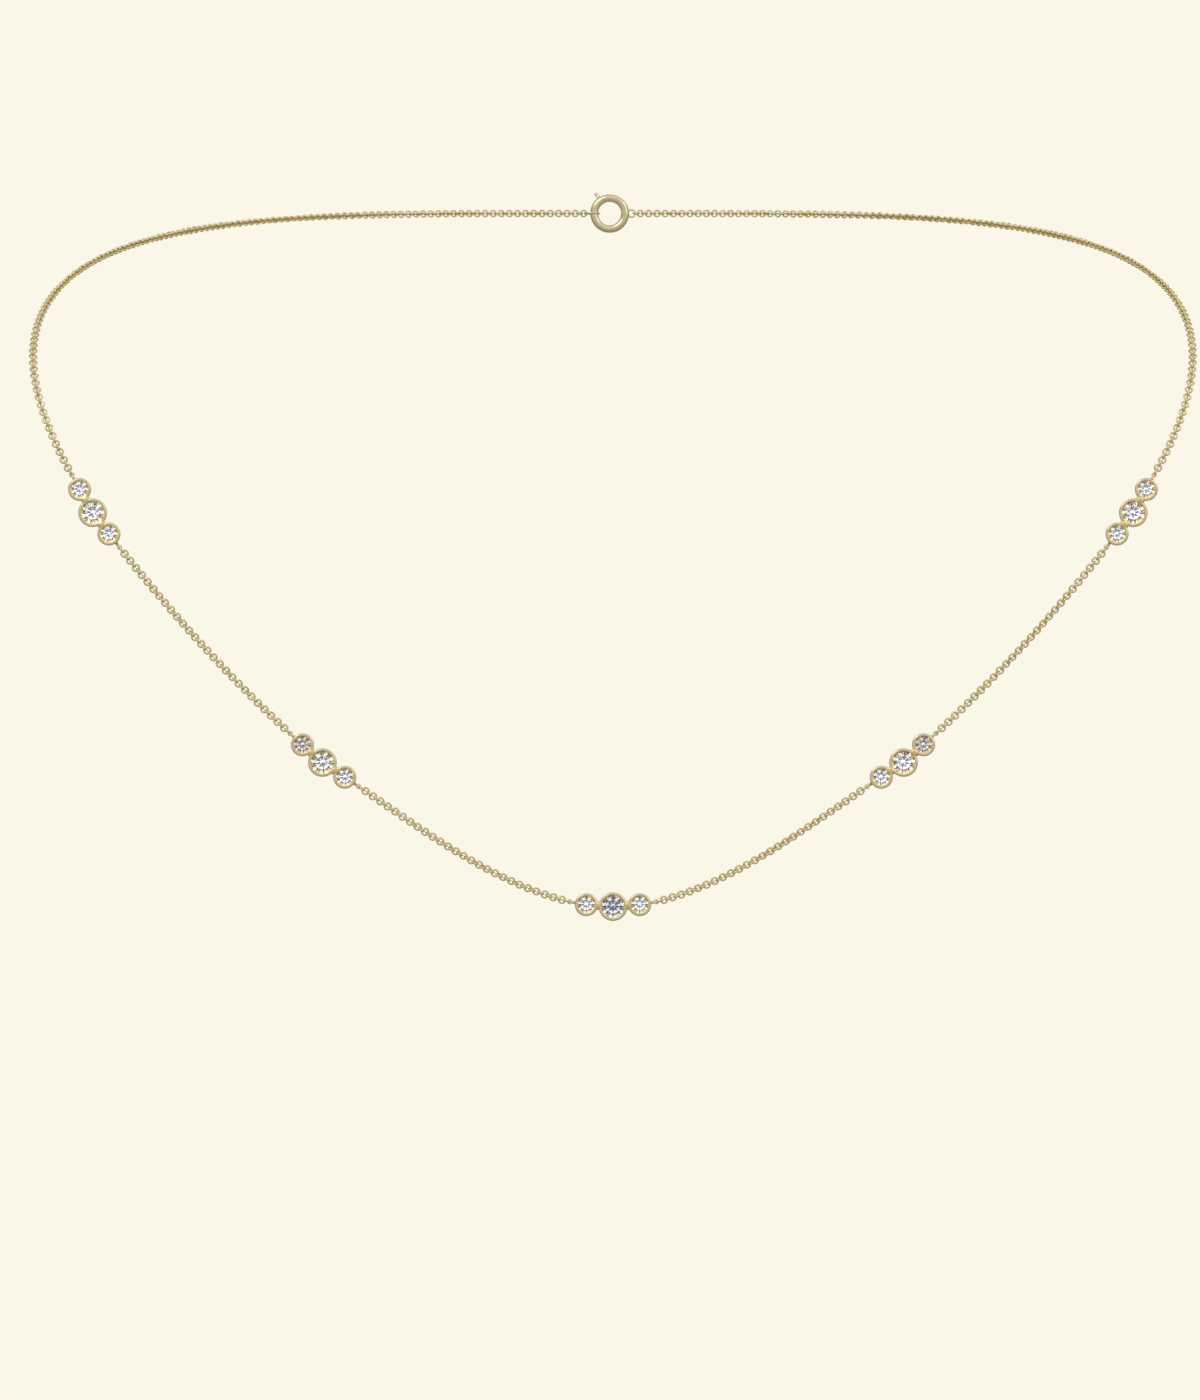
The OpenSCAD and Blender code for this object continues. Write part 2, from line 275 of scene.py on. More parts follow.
# Gold as it wears: a tone that drifts between two alloys' colours, fine polishing lines in the
# height, and a roughness that varies with them
def gold_finish():
    group = bpy.data.node_groups.new("Gold finish", "ShaderNodeTree")
    sockets = group.interface
    sockets.new_socket("Tone", in_out="INPUT", socket_type="NodeSocketColor")
    sockets.new_socket("Second tone", in_out="INPUT", socket_type="NodeSocketColor")
    sockets.new_socket("Patches per metre", in_out="INPUT", socket_type="NodeSocketFloat")
    sockets.new_socket("Polish", in_out="INPUT", socket_type="NodeSocketFloat")
    sockets.new_socket("Haze", in_out="INPUT", socket_type="NodeSocketFloat")
    sockets.new_socket("Color", in_out="OUTPUT", socket_type="NodeSocketColor")
    sockets.new_socket("Roughness", in_out="OUTPUT", socket_type="NodeSocketFloat")
    sockets.new_socket("Height", in_out="OUTPUT", socket_type="NodeSocketFloat")
    nodes = group.nodes
    links = group.links
    given = nodes.new("NodeGroupInput")
    result = nodes.new("NodeGroupOutput")
    place = nodes.new("ShaderNodeTexCoord")

    patches = nodes.new("ShaderNodeTexNoise")
    patches.inputs["Detail"].default_value = PATCH_DETAIL
    links.new(place.outputs["Object"], patches.inputs["Vector"])
    links.new(given.outputs["Patches per metre"], patches.inputs["Scale"])
    contrast = ranged(group, patches.outputs["Fac"], *PATCH_EDGES)
    tone = nodes.new("ShaderNodeMix")
    tone.data_type = "RGBA"
    links.new(contrast.outputs["Result"], tone.inputs["Factor"])
    links.new(given.outputs["Tone"], tone.inputs["A"])
    links.new(given.outputs["Second tone"], tone.inputs["B"])
    links.new(tone.outputs["Result"], result.inputs["Color"])

    lines = nodes.new("ShaderNodeTexNoise")
    lines.inputs["Scale"].default_value = POLISH_LINES_PER_METRE
    lines.inputs["Detail"].default_value = POLISH_LINE_DETAIL
    lines.inputs["Distortion"].default_value = POLISH_LINE_WANDER
    links.new(place.outputs["Object"], lines.inputs["Vector"])
    links.new(lines.outputs["Fac"], result.inputs["Height"])
    haze = ranged(group, lines.outputs["Fac"], *POLISH_LINE_SPREAD)
    links.new(given.outputs["Polish"], haze.inputs["To Min"])
    links.new(given.outputs["Haze"], haze.inputs["To Max"])
    links.new(haze.outputs["Result"], result.inputs["Roughness"])
    return group


GOLD_FINISH = gold_finish()


# Gold of one alloy and polish. The relief is the depth of its polishing lines.
def gold(name, tone, second_tone, patches_per_metre, polish, haze, relief):
    material = bpy.data.materials.new(name)
    material.use_nodes = True
    nodes = material.node_tree.nodes
    links = material.node_tree.links
    shader = nodes["Principled BSDF"]
    shader.inputs["Metallic"].default_value = 1
    finish = nodes.new("ShaderNodeGroup")
    finish.node_tree = GOLD_FINISH
    finish.inputs["Tone"].default_value = tone
    finish.inputs["Second tone"].default_value = second_tone
    finish.inputs["Patches per metre"].default_value = patches_per_metre
    finish.inputs["Polish"].default_value = polish
    finish.inputs["Haze"].default_value = haze
    relief_bump = nodes.new("ShaderNodeBump")
    relief_bump.inputs["Strength"].default_value = RELIEF_STRENGTH
    relief_bump.inputs["Distance"].default_value = relief
    links.new(finish.outputs["Color"], shader.inputs["Base Color"])
    links.new(finish.outputs["Roughness"], shader.inputs["Roughness"])
    links.new(finish.outputs["Height"], relief_bump.inputs["Height"])
    links.new(relief_bump.outputs["Normal"], shader.inputs["Normal"])
    return material


rim_gold = gold(
    "Polished rim gold", RIM_GOLD, RIM_ROSE,
    patches_per_metre=900, polish=0.12, haze=0.24, relief=0.004 * MM,
)
solder_gold = gold(
    "Solder gold", SOLDER_GOLD, SOLDER_ORANGE,
    patches_per_metre=500, polish=0.2, haze=0.38, relief=0.008 * MM,
)

front_y = centre("jump_ring_3_left").y
for k in STATIONS:
    stones = {side: f"stone_{k}_{side}" for side in ("left", "middle", "right")}
    seats = {side: centre(node) for side, node in stones.items()}
    cups = bmesh.new()
    for side, node in stones.items():
        stone_r = BIG_STONE_R if side == "middle" else SMALL_STONE_R
        girdle_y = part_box(node)[1].y - HALF_GIRDLE - stone_r * math.tan(PAVILION_SLOPE)
        seats[side].y = girdle_y
        cup_place = facing_front(seats[side], Vector((1, 0, 0)))
        spin_closed(cups, cup_outline(stone_r), CUP_SIDES, cup_place)

    solder = bmesh.new()
    beads = bmesh.new()
    eyes = bmesh.new()
    middle = Vector((seats["middle"].x, front_y, seats["middle"].z))
    lip_top = front_y - seats["middle"].y + LIP_H
    left_slope, right_slope = CHAIN_SLOPES[k]
    for side, slope, outward in (("left", left_slope, -1), ("right", right_slope, 1)):
        cup = Vector((seats[side].x, front_y, seats[side].z))
        arm = (cup - middle).normalized()
        from_middle = ((cup - middle).length + BIG_STONE_R - SMALL_STONE_R) / 2
        at_join = facing_front(middle + arm * from_middle, arm)
        web = bmesh.ops.create_cube(solder, size=1)["verts"]
        bmesh.ops.scale(solder, vec=(WEB_L, WEB_W, WEB_BACK + WEB_FRONT), verts=web)
        bmesh.ops.translate(solder, vec=(0, 0, (WEB_FRONT - WEB_BACK) / 2), verts=web)
        bmesh.ops.transform(solder, matrix=at_join, verts=web)
        bmesh.ops.bevel(
            solder, geom=list({e for v in web for e in v.link_edges}), offset=WEB_ROUND,
            affect="EDGES", segments=WEB_ROUND_STEPS, profile=0.5, material=-1,
        )
        bead = bmesh.ops.create_uvsphere(
            beads, u_segments=BEAD_SIDES, v_segments=BEAD_SIDES // 2, radius=0.5
        )["verts"]
        bmesh.ops.scale(beads, vec=(BEAD_L, BEAD_W, BEAD_H), verts=bead)
        bmesh.ops.translate(beads, vec=(0, 0, lip_top - BEAD_SUNK), verts=bead)
        bmesh.ops.transform(beads, matrix=at_join, verts=bead)

        ring = centre(f"jump_ring_{k}_{side}")
        eye = ring - outward * heading(slope) * (LINK_R + RING_HANG)
        eye_place = facing_front(eye, heading(slope))
        wire_ring(eyes, EYE_R, EYE_WIRE_R, EYE_SIDES, EYE_WIRE_SIDES, eye_place)
        neck_way = (eye - cup).normalized()
        neck_start = cup + neck_way * (SMALL_STONE_R + NECK_INSET)
        neck_end = eye - neck_way * EYE_R
        neck = bmesh.ops.create_cone(
            solder, cap_ends=True, segments=NECK_SIDES, radius1=NECK_ROOT_R, radius2=NECK_TIP_R,
            depth=(neck_end - neck_start).length,
        )["verts"]
        turn = Vector((0, 0, 1)).rotation_difference(neck_way).to_matrix().to_4x4()
        bmesh.ops.transform(
            solder, matrix=Matrix.Translation((neck_start + neck_end) / 2) @ turn, verts=neck
        )
    for face in [*solder.faces, *beads.faces]:
        face.material_index = 1

    setting = as_piece(cups, f"bezels_{k}", [rim_gold, solder_gold])
    soldered(
        setting,
        [
            as_piece(solder, f"solder_{k}", [rim_gold, solder_gold]),
            as_piece(beads, f"beads_{k}", [rim_gold, solder_gold]),
            as_piece(eyes, f"eyes_{k}", [rim_gold, solder_gold]),
        ],
    )
    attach(setting, "root")
    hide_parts(f"setting_{k}")


# Stones. Fifteen round brilliant cut stones, each with a table, a crown and a pavilion down to a
# point, cut and polished one by one and held only by the pressed lip. Twelve are nearly colourless,
# two are dusky, and the middle station's large one is blue-grey, with a painted dark reflection in
# its middle.
# Each kind of stone's colour, with the cooler and rosier tints of its painted fire
CLEAR = (0.98, 0.99, 1, 1)
CLEAR_COOL_FIRE = (0.86, 0.93, 1, 1)
CLEAR_ROSE_FIRE = (1, 0.90, 0.98, 1)
DUSKY = (0.60, 0.57, 0.53, 1)
DUSKY_ROSE_FIRE = (0.66, 0.56, 0.54, 1)
STEEL = (0.64, 0.63, 0.66, 1)
STEEL_COOL_FIRE = (0.50, 0.57, 0.70, 1)
# The middle stone's painted dark reflection, darkest on its axis, and how far out it reaches
STEEL_PAINTED_DARK = (0, 0.015, 0.06, 1)
STEEL_GLOSS = (0.20, 0.31, 0.48, 1)
PAINTED_DARK_R = 0.8 * MM
# Painted reflections of the gold lip, mixed into the colour of each kind of stone's crown slopes
PAINTED_LIP_REFLECTION = (0.68, 0.46, 0.13, 1)
DUSKY_PAINTED_LIP_REFLECTION = (0.66, 0.43, 0.16, 1)
STEEL_PAINTED_LIP_REFLECTION = (1, 0.80, 0.44, 1)
BLACK = (0, 0, 0, 1)
WHITE = (1, 1, 1, 1)
STONE_IOR = 2.417
# Painted fire: the size and detail of the patches where the stones' colour is tinted cooler or rosier
PAINTED_FIRE_PER_METRE = 1400
PAINTED_FIRE_DETAIL = 1


# A run of colours that a value from 0 to 1 is read on
def colour_run(tree, value, stops):
    run = tree.nodes.new("ShaderNodeValToRGB")
    elements = run.color_ramp.elements
    for element, (position, color) in zip(elements, (stops[0], stops[-1])):
        element.position = position
        element.color = color
    for position, color in stops[1:-1]:
        elements.new(position).color = color
    tree.links.new(value, run.inputs["Fac"])
    return run


# Cut stone of one colour, with cooler and rosier painted fire in some of its facets. The slopes of
# its crown take in a painted reflection of the gold of the lip round them, mixed into their colour.
def cut_stone(name, cool_fire, main, rose_fire, painted_lip_reflection):
    material = bpy.data.materials.new(name)
    material.use_nodes = True
    nodes = material.node_tree.nodes
    links = material.node_tree.links
    shader = nodes["Principled BSDF"]
    shader.inputs["Roughness"].default_value = 0
    shader.inputs["IOR"].default_value = STONE_IOR
    shader.inputs["Transmission Weight"].default_value = 1
    place = nodes.new("ShaderNodeTexCoord")
    # Painted fire: noise tints the colour cooler and rosier in patches, as dispersed light would
    painted_fire = nodes.new("ShaderNodeTexNoise")
    painted_fire.inputs["Scale"].default_value = PAINTED_FIRE_PER_METRE
    painted_fire.inputs["Detail"].default_value = PAINTED_FIRE_DETAIL
    links.new(place.outputs["Object"], painted_fire.inputs["Vector"])
    painted_fire_tints = colour_run(
        material.node_tree, painted_fire.outputs["Fac"], ((0.35, cool_fire), (0.5, main), (0.65, rose_fire))
    )

    surface = nodes.new("ShaderNodeNewGeometry")
    split = nodes.new("ShaderNodeSeparateXYZ")
    links.new(surface.outputs["True Normal"], split.inputs["Vector"])
    forwards = nodes.new("ShaderNodeMath")
    forwards.operation = "MULTIPLY"
    forwards.inputs[1].default_value = -1
    links.new(split.outputs["Y"], forwards.inputs[0])
    # Painted reflection: slopes that face partly forwards take the gold lip's colour into the stone's
    # own
    lip_reflection_mask = colour_run(
        material.node_tree, forwards.outputs["Value"],
        ((0.3, BLACK), (0.5, WHITE), (0.86, WHITE), (0.97, BLACK)),
    )
    with_lip_reflection = nodes.new("ShaderNodeMix")
    with_lip_reflection.data_type = "RGBA"
    with_lip_reflection.inputs["B"].default_value = painted_lip_reflection
    links.new(lip_reflection_mask.outputs["Color"], with_lip_reflection.inputs["Factor"])
    links.new(painted_fire_tints.outputs["Color"], with_lip_reflection.inputs["A"])
    links.new(with_lip_reflection.outputs["Result"], shader.inputs["Base Color"])
    return material


# Painted dark reflection: colour that deepens towards a stone's own axis, so that its middle looks
# dark from the front
def paint_dark_heart(material, stone, painted_dark, painted_dark_r):
    nodes = material.node_tree.nodes
    links = material.node_tree.links
    base = nodes["Principled BSDF"].inputs["Base Color"]
    outer = base.links[0].from_socket
    middle = centre(stone)
    place = nodes.new("ShaderNodeTexCoord")
    from_axis = nodes.new("ShaderNodeMapping")
    from_axis.inputs["Location"].default_value = (-middle.x / painted_dark_r, 0, -middle.z / painted_dark_r)
    from_axis.inputs["Scale"].default_value = (1 / painted_dark_r, 0, 1 / painted_dark_r)
    links.new(place.outputs["Object"], from_axis.inputs["Vector"])
    depth = nodes.new("ShaderNodeTexGradient")
    depth.gradient_type = "SPHERICAL"
    links.new(from_axis.outputs["Vector"], depth.inputs["Vector"])
    darkened_middle = nodes.new("ShaderNodeMix")
    darkened_middle.data_type = "RGBA"
    darkened_middle.inputs["B"].default_value = painted_dark
    links.new(depth.outputs["Fac"], darkened_middle.inputs["Factor"])
    links.new(outer, darkened_middle.inputs["A"])
    links.new(darkened_middle.outputs["Result"], base)


clear_stone = cut_stone("Clear stone", CLEAR_COOL_FIRE, CLEAR, CLEAR_ROSE_FIRE, PAINTED_LIP_REFLECTION)
dusky_stone = cut_stone("Dusky stone", DUSKY, DUSKY, DUSKY_ROSE_FIRE, DUSKY_PAINTED_LIP_REFLECTION)
steel_stone = cut_stone("Steel stone", STEEL_COOL_FIRE, STEEL, STEEL, STEEL_PAINTED_LIP_REFLECTION)
steel_stone.node_tree.nodes["Principled BSDF"].inputs["Specular Tint"].default_value = STEEL_GLOSS
# Painted dark reflection in the steel stone's middle
paint_dark_heart(steel_stone, "stone_3_middle", STEEL_PAINTED_DARK, PAINTED_DARK_R)
duskier = {"stone_2_left": dusky_stone, "stone_4_right": dusky_stone, "stone_3_middle": steel_stone}
for k in STATIONS:
    for side in ("left", "middle", "right"):
        node = f"stone_{k}_{side}"
        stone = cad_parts[node]
        stone.data.materials.clear()
        stone.data.materials.append(duskier.get(node, clear_stone))


# Jump rings. Small rings of the chain's own wire, closed with solder, that join each station's
# eye and the clasp's eye to the chain. They hang edge on to the viewer.
WIRE_R = 0.125 * MM
JUMP_RING_SIDES = 36
JUMP_RING_WIRE_SIDES = 12
CHAIN_TONE = (0.88, 0.69, 0.40, 1)
CHAIN_OLIVE = (0.77, 0.69, 0.31, 1)

chain_gold = gold(
    "Chain gold", CHAIN_TONE, CHAIN_OLIVE,
    patches_per_metre=700, polish=0.14, haze=0.3, relief=0.004 * MM,
)


# A matrix that lays a ring in the plane of two directions
def lying_in(point, along, across):
    normal = along.cross(across).normalized()
    side = normal.cross(along).normalized()
    turn = Matrix((along.normalized(), side, normal)).transposed().to_4x4()
    return Matrix.Translation(point) @ turn


ring_ways = {
    f"jump_ring_{k}_{side}": heading(CHAIN_SLOPES[k][end])
    for k in STATIONS
    for end, side in enumerate(("left", "right"))
}
ring_ways["jump_ring_clasp"] = Vector((1, 0, 0))
for node, way in ring_ways.items():
    bm = bmesh.new()
    ring_place = lying_in(centre(node), way, Vector((0, 1, 0)))
    wire_ring(bm, LINK_R, WIRE_R, JUMP_RING_SIDES, JUMP_RING_WIRE_SIDES, ring_place)
    ring = as_piece(bm, node.replace("jump_ring", "joining_ring"), [chain_gold])
    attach(ring, "root")
    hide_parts(node)


# Chain. A round cable chain: equal soldered rings of drawn wire, each threaded through the one
# before it and turned a quarter against it. The runs swing a little about their own line.
LINK_PITCH = 0.565 * MM
LINK_SIDES = 16
LINK_WIRE_SIDES = 6
SHOULDER_REACH = 38 * MM
NAPE_REACH = 50 * MM
ROUTE_POINTS = 400
LINK_PLAY = math.radians(9)
PLAY_SEED = 5
PLAY_FADE_LINKS = 4
ROUND_WIRE = math.radians(80)
# How far each run's links are swung about the run's own line, in degrees, at even steps from its
# left or outer end
SWINGS = {
    1: (0, 8, -10, 12, -8, 6, 0),
    2: (0, 12, 6, 10, 0),
    3: (0, 6, 10, 15, 12, 0),
    4: (0, 10, 20, 24, 18, 0),
    5: (0, 8, 18, 22, 14, 0),
    6: (0, -8, 12, -10, 8, -6, 0),
}


# The way a run lies, as even steps along its curve: points, and the direction at each of them
def even_route(start, start_handle, end_handle, end):
    fine = interpolate_bezier(start, start_handle, end_handle, end, ROUTE_POINTS)
    reached = [0]
    for i in range(1, len(fine)):
        reached.append(reached[-1] + (fine[i] - fine[i - 1]).length)
    count = 2 * round(reached[-1] / LINK_PITCH / 2)
    points = []
    i = 0
    for step in range(count + 1):
        target = reached[-1] * step / count
        while i < len(fine) - 2 and reached[i + 1] < target:
            i += 1
        share = (target - reached[i]) / (reached[i + 1] - reached[i])
        points.append(fine[i].lerp(fine[i + 1], share))
    ways = [
        (points[min(i + 1, count)] - points[max(i - 1, 0)]).normalized() for i in range(count + 1)
    ]
    return points, ways


# A run's swing at a share of its length, eased from one step to the next
def swing_at(swings, share):
    place = share * (len(swings) - 1)
    i = min(int(place), len(swings) - 2)
    t = place - i
    return math.radians(swings[i] + (swings[i + 1] - swings[i]) * t * t * (3 - 2 * t))


# One link of drawn wire about Z, which every run's links are copies of
def link_shape():
    bm = bmesh.new()
    wire_ring(bm, LINK_R, WIRE_R, LINK_SIDES, LINK_WIRE_SIDES, Matrix.Identity(4))
    bmesh.ops.recalc_face_normals(bm, faces=bm.faces)
    mesh = bpy.data.meshes.new("link")
    bm.to_mesh(mesh)
    bm.free()
    return mesh


link = link_shape()
nape_ring = centre("jump_ring_clasp")
nape_left = Vector((-nape_ring.x, nape_ring.y, nape_ring.z))
play = random.Random(PLAY_SEED)
shoulder_slope = CHAIN_SLOPES[5][1]
for n, swings in SWINGS.items():
    if n in (1, 6):
        outward = -1 if n == 1 else 1
        start = centre("jump_ring_1_left" if n == 1 else "jump_ring_5_right")
        end = nape_left if n == 1 else nape_ring
        start_handle = start + outward * heading(outward * shoulder_slope) * SHOULDER_REACH
        end_handle = end + Vector((outward * NAPE_REACH, 0, 0))
    else:
        start = centre(f"jump_ring_{n - 1}_right")
        end = centre(f"jump_ring_{n}_left")
        reach = (end - start).length / 3
        start_handle = start + heading(CHAIN_SLOPES[n - 1][1]) * reach
        end_handle = end - heading(CHAIN_SLOPES[n][0]) * reach
    points, ways = even_route(start, start_handle, end_handle, end)

    # Each step's own side direction, carried along the run, and what is left to turn at its end
    sides = [Vector((0, 1, 0))]
    for way in ways[1:]:
        sides.append((sides[-1] - way * sides[-1].dot(way)).normalized())
    wanted = Vector((0, 1, 0))
    left_over = math.atan2(sides[-1].cross(wanted).dot(ways[-1]), sides[-1].dot(wanted))
    left_over = (left_over + math.pi / 2) % math.pi - math.pi / 2

    bm = bmesh.new()
    count = len(points) - 1
    for i in range(1, count):
        quarter = math.pi / 2 if i % 2 else 0
        ends = min(1, i / PLAY_FADE_LINKS, (count - i) / PLAY_FADE_LINKS)
        turn = quarter + left_over * i / count + swing_at(swings, i / count)
        turn += ends * play.uniform(-LINK_PLAY, LINK_PLAY)
        across = Matrix.Rotation(turn, 3, ways[i]) @ sides[i]
        placed = link.copy()
        placed.transform(lying_in(points[i], ways[i], across))
        bm.from_mesh(placed)
        bpy.data.meshes.remove(placed)
    cable = as_piece(bm, f"cable_{n}", [chain_gold], ROUND_WIRE)
    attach(cable, "root")
    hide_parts(f"chain_{n}")
bpy.data.meshes.remove(link)


# Clasp. A spring ring clasp as one plain piece: a round tube bent to a ring, with a soldered eye
# for the chain and a thumb lever, and fine seams where its bolt meets the tube.
CLASP_R = 2.1 * MM
CLASP_TUBE_R = 0.55 * MM
CLASP_SIDES = 96
CLASP_TUBE_SIDES = 24
CLASP_EYE_R = 0.5 * MM
CLASP_EYE_WIRE_R = 0.13 * MM
CLASP_EYE_SINK = 0.18 * MM
CLASP_EYE_SIDES = 40
CLASP_EYE_WIRE_SIDES = 14
LEVER_R = 0.25 * MM
LEVER_L = 0.7 * MM
LEVER_TURN = math.radians(125)
LEVER_ROUND = 0.08 * MM
LEVER_ROUND_STEPS = 4
LEVER_SIDES = 24
SEAM_W = 0.06 * MM
SEAM_REACH = 1.5 * CLASP_TUBE_R
SEAM_SHARE = 0.06
SEAM_TURNS = (math.radians(114.4), math.radians(196.9))
CLASP_TONE = (0.86, 0.74, 0.45, 1)

clasp_gold = gold(
    "Clasp gold", CLASP_TONE, RIM_GOLD,
    patches_per_metre=300, polish=0.1, haze=0.22, relief=0.003 * MM,
)
low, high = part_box("clasp")
ring_middle = Vector((low.x + CLASP_R + CLASP_TUBE_R, (low.y + high.y) / 2, 0))
facing_nape = facing_front(ring_middle, Vector((1, 0, 0)))

tube = bmesh.new()
wire_ring(tube, CLASP_R, CLASP_TUBE_R, CLASP_SIDES, CLASP_TUBE_SIDES, Matrix.Identity(4))
for turn in SEAM_TURNS:
    spine = Vector((math.cos(turn), math.sin(turn), 0)) * CLASP_R
    across = Vector((-math.sin(turn), math.cos(turn), 0))
    for offset in (-SEAM_W / 2, SEAM_W / 2, 0):
        near = [f for f in tube.faces if (f.calc_center_median() - spine).length < SEAM_REACH]
        near += list({e for f in near for e in f.edges}) + list({v for f in near for v in f.verts})
        cut = bmesh.ops.bisect_plane(
            tube, geom=near, plane_co=spine + across * offset, plane_no=across
        )
    for v in cut["geom_cut"]:
        if isinstance(v, bmesh.types.BMVert):
            v.co = v.co.lerp(spine, SEAM_SHARE)
bmesh.ops.transform(tube, matrix=facing_nape, verts=tube.verts)

fittings = bmesh.new()
bmesh.ops.create_cone(
    fittings, cap_ends=True, segments=LEVER_SIDES, radius1=LEVER_R, radius2=LEVER_R,
    depth=CLASP_TUBE_R + LEVER_L,
)
bmesh.ops.bevel(
    fittings, geom=[e for e in fittings.edges if all(v.co.z > 0 for v in e.verts)],
    offset=LEVER_ROUND, affect="EDGES", segments=LEVER_ROUND_STEPS, profile=0.5, material=-1,
)
lever_middle = Vector((CLASP_R + (CLASP_TUBE_R + LEVER_L) / 2, 0, 0))
leaning = Matrix.Rotation(LEVER_TURN, 4, "Z") @ Matrix.Translation(lever_middle)
bmesh.ops.transform(
    fittings, matrix=leaning @ Matrix.Rotation(math.pi / 2, 4, "Y"), verts=fittings.verts
)
clasp_eye = Vector((CLASP_R + CLASP_TUBE_R + CLASP_EYE_R - CLASP_EYE_SINK, 0, 0))
wire_ring(
    fittings, CLASP_EYE_R, CLASP_EYE_WIRE_R, CLASP_EYE_SIDES, CLASP_EYE_WIRE_SIDES,
    Matrix.Translation(clasp_eye),
)
bmesh.ops.transform(fittings, matrix=facing_nape, verts=fittings.verts)

clasp = as_piece(tube, "spring_ring", [clasp_gold])
soldered(clasp, [as_piece(fittings, "clasp_fittings", [clasp_gold])])
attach(clasp, "root")
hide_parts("clasp")


# End ring. A wide ring of drawn wire, closed with solder, that hangs on the chain's other end. The
# clasp closes on it.
END_RING_WIRE_R = 0.13 * MM
END_RING_SIDES = 56
END_RING_WIRE_SIDES = 16

low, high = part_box("end_ring")
bm = bmesh.new()
wire_ring(
    bm, (high.x - low.x) / 2 - END_RING_WIRE_R, END_RING_WIRE_R, END_RING_SIDES,
    END_RING_WIRE_SIDES, Matrix.Translation(centre("end_ring")),
)
end_ring = as_piece(bm, "closing_ring", [clasp_gold])
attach(end_ring, "root")
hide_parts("end_ring")


# Picture. The necklace hangs free before a plain cream ground, under soft studio light. The ground
# is the world itself, so that it stands behind the necklace from every side.
GROUND_CREAM = (0.956, 0.930, 0.807, 1)
FLOOR_PAINT = (0.88, 0.87, 0.825, 1)
FLOOR_DROP = 160 * MM
FLOOR_R = 420 * MM
FLOOR_SIDES = 96
FLOOR_ROUGHNESS = 0.8
# The room that the metal mirrors, from straight below to straight above
ROOM_STOPS = (
    (0, (0.42, 0.40, 0.36, 1)), (0.3, (0.46, 0.45, 0.42, 1)), (0.5, (0.60, 0.60, 0.58, 1)),
    (0.62, (0.52, 0.52, 0.54, 1)), (0.78, (0.86, 0.87, 0.92, 1)), (1, (0.72, 0.73, 0.78, 1)),
)
# How bright the room is to the sides and ahead, and how much is added straight behind
SIDE_LIGHT = 0.7
AHEAD_LIGHT = 1.12
BEHIND_LIGHT = 0.45
# How far round from the sides each of them starts or is full: 0 is sideways, 1 is straight
AHEAD_FULL = 0.8
BEHIND_FROM = 0.8
BEHIND_FULL = 0.95
# What the stones gather, from the sides to straight ahead: warm light, a cool panel, a dark lens
PANEL_STOPS = (
    (0, (0.34, 0.28, 0.18, 1)), (0.4, (0.68, 0.60, 0.44, 1)), (0.6, (0.98, 0.94, 0.88, 1)),
    (0.74, (1.14, 1.16, 1.24, 1)), (0.95, (1.18, 1.24, 1.38, 1)), (0.975, (0.07, 0.07, 0.08, 1)),
)
# The way that this light grows brighter, how far from level it still changes, and its two ends
PANEL_WAY = (0.2, 0, -0.98)
PANEL_SPREAD = 0.45
PANEL_LIGHT = (0.12, 2)
# Each lamp's name, place and size in metres, and power in watts
LAMPS = (
    ("key", (-0.45, -0.55, 0.55), 0.5, 1.1),
    ("fill", (0.6, -0.35, 0.25), 0.5, 0.6),
    ("back", (0.1, 0.6, 0.5), 0.6, 0.8),
)
LAMPS_AIM = Vector((0, 0, -0.05))
PICTURE_H = 1400
PIXELS_PER_MM = 8
# The middle stone and the middle of the picture, in the photograph's 1200 by 1400 pixels
MIDDLE_STONE_PX = (613, 906.4)
PICTURE_MIDDLE_PX = (600, 700)
LENS = 200
SENSOR = 36
NEAREST_SEEN = 0.01
FARTHEST_SEEN = 10


world = bpy.data.worlds.new("Studio")
world.use_nodes = True
bpy.context.scene.world = world
nodes = world.node_tree.nodes
links = world.node_tree.links
nodes.clear()
way = nodes.new("ShaderNodeTexCoord")
split = nodes.new("ShaderNodeSeparateXYZ")
links.new(way.outputs["Generated"], split.inputs["Vector"])

# What the metal mirrors: a calm room, lighter overhead, and darker to the sides than ahead or
# straight behind
height = ranged(world.node_tree, split.outputs["Z"], -1, 1)
room = colour_run(world.node_tree, height.outputs["Result"], ROOM_STOPS)
nearness = nodes.new("ShaderNodeMath")
nearness.operation = "MULTIPLY"
nearness.inputs[1].default_value = -1
links.new(split.outputs["Y"], nearness.inputs[0])
ahead = nearness.outputs["Value"]
side_shade = ranged(world.node_tree, ahead, 0, AHEAD_FULL, SIDE_LIGHT, AHEAD_LIGHT)
behind = ranged(world.node_tree, ahead, -BEHIND_FROM, -BEHIND_FULL, 0, BEHIND_LIGHT)
brightness = nodes.new("ShaderNodeMath")
links.new(side_shade.outputs["Result"], brightness.inputs[0])
links.new(behind.outputs["Result"], brightness.inputs[1])
mirrored = nodes.new("ShaderNodeBackground")
links.new(room.outputs["Color"], mirrored.inputs["Color"])
links.new(brightness.outputs["Value"], mirrored.inputs["Strength"])

# What the stones gather: the dark lens, a cool panel round it, and warm light past the panel
panel = colour_run(world.node_tree, ahead, PANEL_STOPS)
gathered = nodes.new("ShaderNodeBackground")
links.new(panel.outputs["Color"], gathered.inputs["Color"])
below = nodes.new("ShaderNodeVectorMath")
below.operation = "DOT_PRODUCT"
below.inputs[1].default_value = PANEL_WAY
links.new(way.outputs["Generated"], below.inputs[0])
fall_off = ranged(
    world.node_tree, below.outputs["Value"], -PANEL_SPREAD, PANEL_SPREAD, *PANEL_LIGHT
)
links.new(fall_off.outputs["Result"], gathered.inputs["Strength"])

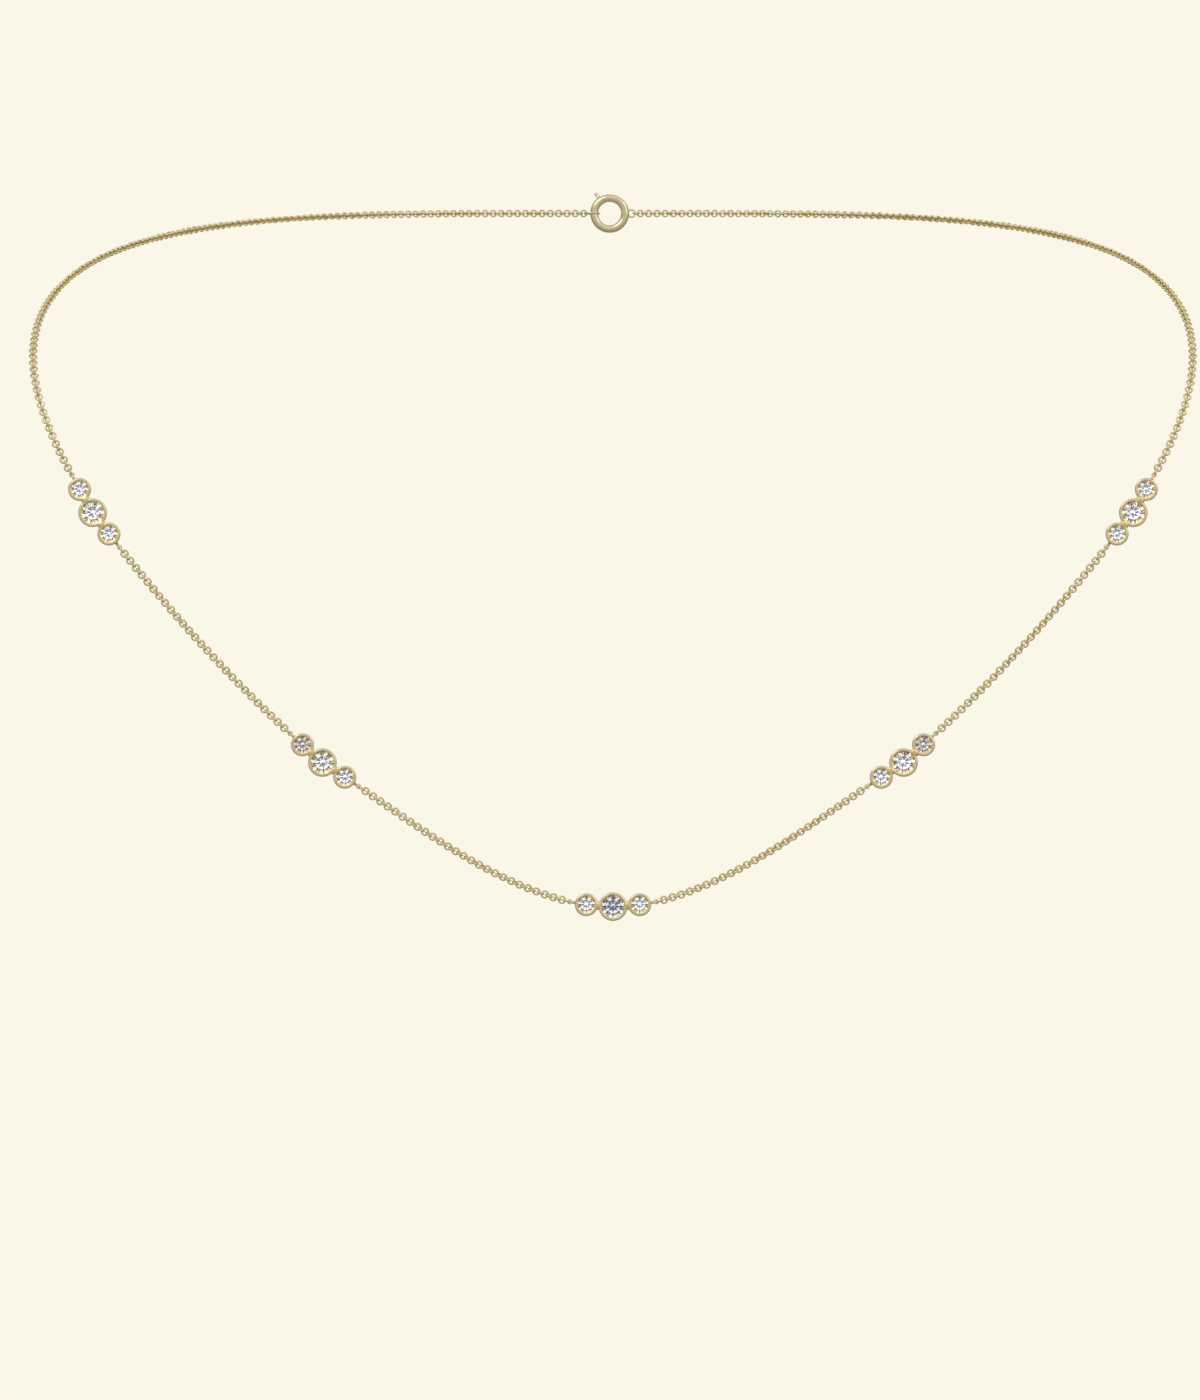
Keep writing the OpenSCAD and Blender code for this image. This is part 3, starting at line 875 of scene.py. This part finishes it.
# The camera sees the plain ground, which also lights the floor
ground = nodes.new("ShaderNodeBackground")
ground.inputs["Color"].default_value = GROUND_CREAM
seen = nodes.new("ShaderNodeLightPath")
by_stone = nodes.new("ShaderNodeMixShader")
links.new(seen.outputs["Is Transmission Ray"], by_stone.inputs["Fac"])
links.new(mirrored.outputs["Background"], by_stone.inputs[1])
links.new(gathered.outputs["Background"], by_stone.inputs[2])
plain = nodes.new("ShaderNodeMath")
plain.operation = "MAXIMUM"
links.new(seen.outputs["Is Camera Ray"], plain.inputs[0])
links.new(seen.outputs["Is Diffuse Ray"], plain.inputs[1])
either = nodes.new("ShaderNodeMixShader")
links.new(plain.outputs["Value"], either.inputs["Fac"])
links.new(by_stone.outputs["Shader"], either.inputs[1])
links.new(ground.outputs["Background"], either.inputs[2])
output = nodes.new("ShaderNodeOutputWorld")
links.new(either.outputs["Shader"], output.inputs["Surface"])
bpy.context.scene.view_settings.view_transform = "Standard"

bm = bmesh.new()
bmesh.ops.create_circle(bm, cap_ends=True, segments=FLOOR_SIDES, radius=FLOOR_R)
bmesh.ops.translate(bm, vec=(0, 0, model_box[0][2] - FLOOR_DROP), verts=bm.verts)
floor_paint = bpy.data.materials.new("Pale floor")
floor_paint.use_nodes = True
paint = floor_paint.node_tree.nodes["Principled BSDF"]
paint.inputs["Base Color"].default_value = FLOOR_PAINT
paint.inputs["Roughness"].default_value = FLOOR_ROUGHNESS
floor = as_piece(bm, "floor", [floor_paint])
floor.visible_glossy = False
floor.visible_transmission = False

for name, place, size, watts in LAMPS:
    light = bpy.data.lights.new(name, "AREA")
    light.shape = "SQUARE"
    light.size = size
    light.energy = watts
    lamp = bpy.data.objects.new(name, light)
    lamp.location = place
    lamp.rotation_euler = (LAMPS_AIM - Vector(place)).to_track_quat("-Z", "Y").to_euler()
    bpy.context.scene.collection.objects.link(lamp)

middle_stone = centre("stone_3_middle")
aim_x = middle_stone.x + (PICTURE_MIDDLE_PX[0] - MIDDLE_STONE_PX[0]) / PIXELS_PER_MM * MM
aim_z = middle_stone.z + (MIDDLE_STONE_PX[1] - PICTURE_MIDDLE_PX[1]) / PIXELS_PER_MM * MM
distance = PICTURE_H / PIXELS_PER_MM * MM * LENS / SENSOR
lens = bpy.data.cameras.new("camera")
lens.lens = LENS
lens.sensor_width = SENSOR
lens.clip_start = NEAREST_SEEN
lens.clip_end = FARTHEST_SEEN
camera = bpy.data.objects.new("camera", lens)
camera.location = (aim_x, front_y - distance, aim_z)
camera.rotation_euler = (math.pi / 2, 0, 0)
bpy.context.scene.collection.objects.link(camera)
bpy.context.scene.camera = camera
